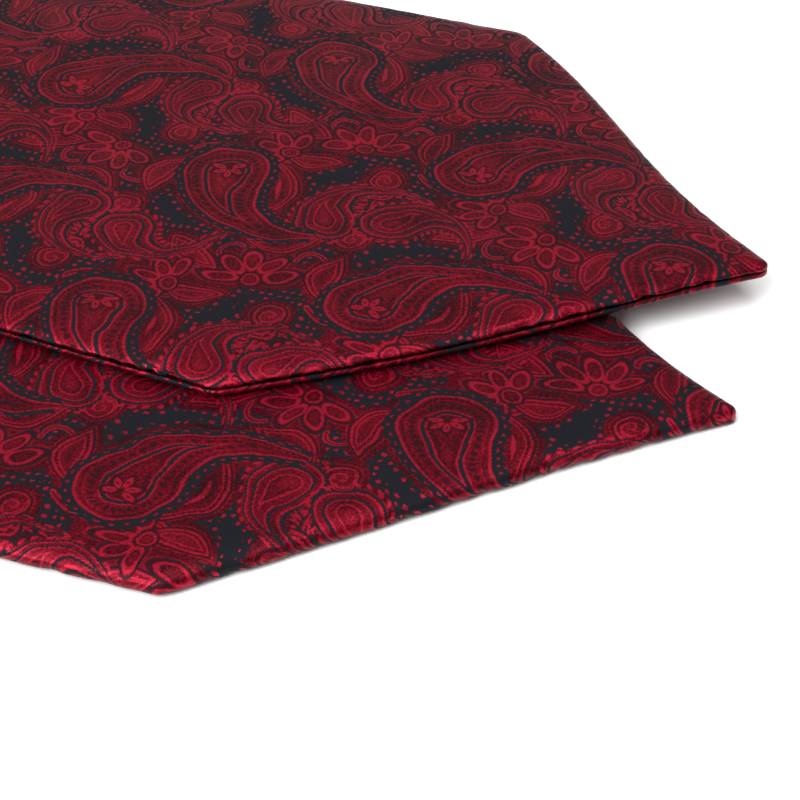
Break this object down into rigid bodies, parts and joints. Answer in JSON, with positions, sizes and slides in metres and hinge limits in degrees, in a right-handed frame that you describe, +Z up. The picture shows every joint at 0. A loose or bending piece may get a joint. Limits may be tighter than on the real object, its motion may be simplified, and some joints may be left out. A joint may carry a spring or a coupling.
{
  "type": "folded self-tie ascot scarf",
  "caption": "Self-tie ascot with broad pointed blades and a narrow pleated neckband, folded at the centre back and laid flat, one blade on the other.",
  "frame": {"origin": "middle of the scarf's box, on the surface that it lies on", "axes": "+X along the folded scarf towards the blades' tips, +Y to the upper blade's far side, +Z up"},
  "size_m": [0.6088, 0.21, 0.0099],
  "materials": {
    "face_cloth": "satin paisley jacquard, dark red on near-black, soft sheen",
    "under_cloth": "the same satin jacquard on the panels underneath",
    "band_cloth": "the same satin jacquard, laid in stitched knife pleats"
  },
  "bodies": {
    "root": {"upper_blade_front": "face_cloth", "upper_blade_back": "under_cloth", "lower_blade_back": "face_cloth", "lower_blade_front": "under_cloth", "neckband": "band_cloth"}
  },
  "joints": []
}
